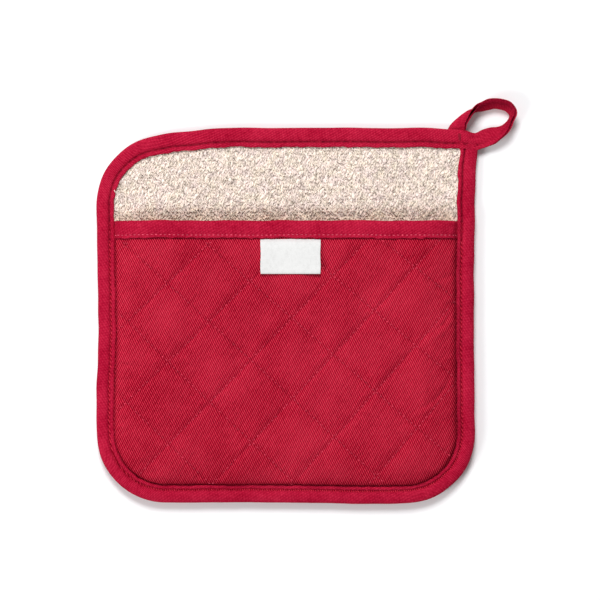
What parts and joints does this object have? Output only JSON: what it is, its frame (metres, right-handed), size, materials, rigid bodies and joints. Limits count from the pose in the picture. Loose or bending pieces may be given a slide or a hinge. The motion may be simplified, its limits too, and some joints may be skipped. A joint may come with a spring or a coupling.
{
  "type": "pocket oven mitt",
  "caption": "Square quilted pocket oven mitt with a terry-lined back, a hand pocket, bound edges and a corner hanging loop.",
  "frame": {"origin": "middle of the quilted back, on the table that it lies on", "axes": "+X across the mitt, +Y from its foot to its head and hanging loop, +Z out of the pocket's front"},
  "size_m": [0.2395, 0.2313, 0.0174],
  "materials": {
    "red_twill": "matt cotton twill",
    "batting": "soft cotton and polyester wadding",
    "cream_terry": "matt looped cotton terry",
    "lining_cotton": "matt plain-weave cotton",
    "binding_tape": "matt cotton twill tape cut on the bias",
    "label_satin": "low-sheen woven polyester",
    "red_thread": "spun polyester sewing thread"
  },
  "bodies": {
    "mitt": {"back_shell": "red_twill", "back_batting": "batting", "back_lining": "cream_terry", "pocket_lining": "lining_cotton", "pocket_batting": "batting", "pocket_shell": "red_twill", "edge_binding": "binding_tape", "pocket_hem_binding": "binding_tape", "loop_sewn_ends": "binding_tape", "back_quilting_thread": "red_thread", "pocket_quilting_thread": "red_thread", "binding_thread": "red_thread", "hem_thread": "red_thread", "loop_bartack": "red_thread"},
    "loop": {"hanging_loop": "binding_tape"},
    "label_flap": {"label": "label_satin"}
  },
  "joints": [
    {"name": "loop_crease", "type": "hinge", "parent": "mitt", "child": "loop", "pos_m": [0.10699, 0.10699, 0.0039], "axis": [0.7071, -0.7071, 0], "range_deg": [-90, 90]},
    {"name": "label_seam", "type": "hinge", "parent": "mitt", "child": "label_flap", "pos_m": [0.0026, 0.04395, 0.01738], "axis": [-1, 0, 0], "range_deg": [0, 160]}
  ]
}
